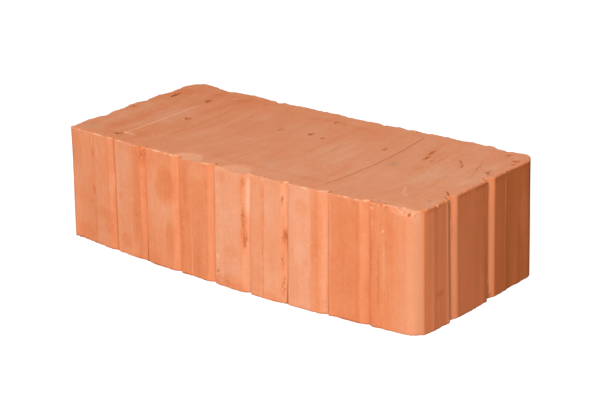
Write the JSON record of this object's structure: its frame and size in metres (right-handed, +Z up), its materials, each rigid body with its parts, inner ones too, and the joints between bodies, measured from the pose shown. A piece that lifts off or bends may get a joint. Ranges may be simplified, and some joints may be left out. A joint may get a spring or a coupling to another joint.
{
  "type": "clay brick",
  "caption": "Solid extruded clay brick, wire cut on its beds, with vertical key grooves round its sides and one swollen long face.",
  "frame": {"origin": "middle of the lower bed's bounding rectangle, on the surface that the brick lies on", "axes": "+X along the brick towards the end with the widest rounded corner at its front, +Y from the swollen front face to the straight back face, +Z up, along the extrusion and its grooves"},
  "size_m": [0.22, 0.105, 0.06],
  "materials": {
    "fired_clay": "matte"
  },
  "bodies": {
    "root": {"brick": "fired_clay"}
  },
  "joints": []
}
